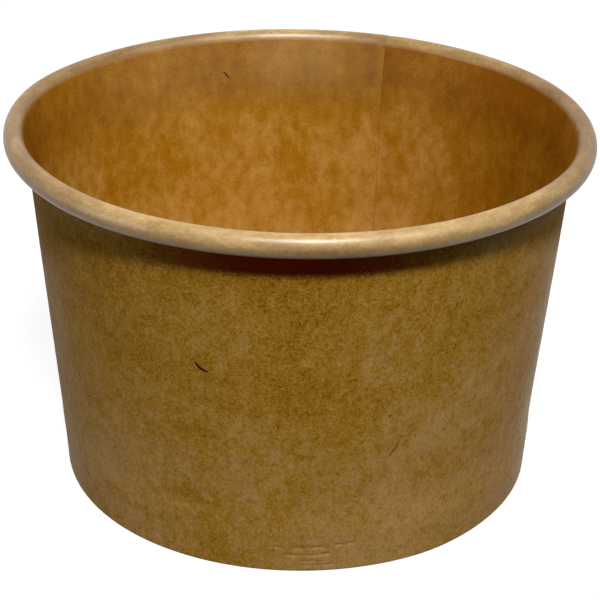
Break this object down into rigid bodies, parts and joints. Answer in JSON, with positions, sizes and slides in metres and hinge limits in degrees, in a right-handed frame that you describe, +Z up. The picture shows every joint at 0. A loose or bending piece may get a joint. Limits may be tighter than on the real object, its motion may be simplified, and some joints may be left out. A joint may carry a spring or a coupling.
{
  "type": "kraft soup bowl",
  "caption": "Round tapered kraft paperboard soup bowl with a rolled rim, a lapped side seam and a recessed base locked in a folded hem.",
  "frame": {"origin": "on the bowl's axis, in the plane it stands on", "axes": "+Z up along the bowl's axis; the inner edge of the side seam lies 70 degrees from +X towards +Y, so -Y is the plain front"},
  "size_m": [0.115, 0.115, 0.0732],
  "materials": {
    "wall_kraft": "uncoated kraft outside, thin clear lining inside",
    "base_kraft": "uncoated kraft below, thin clear lining above"
  },
  "bodies": {
    "root": {"side_wall": "wall_kraft", "base_disc": "base_kraft"}
  },
  "joints": []
}
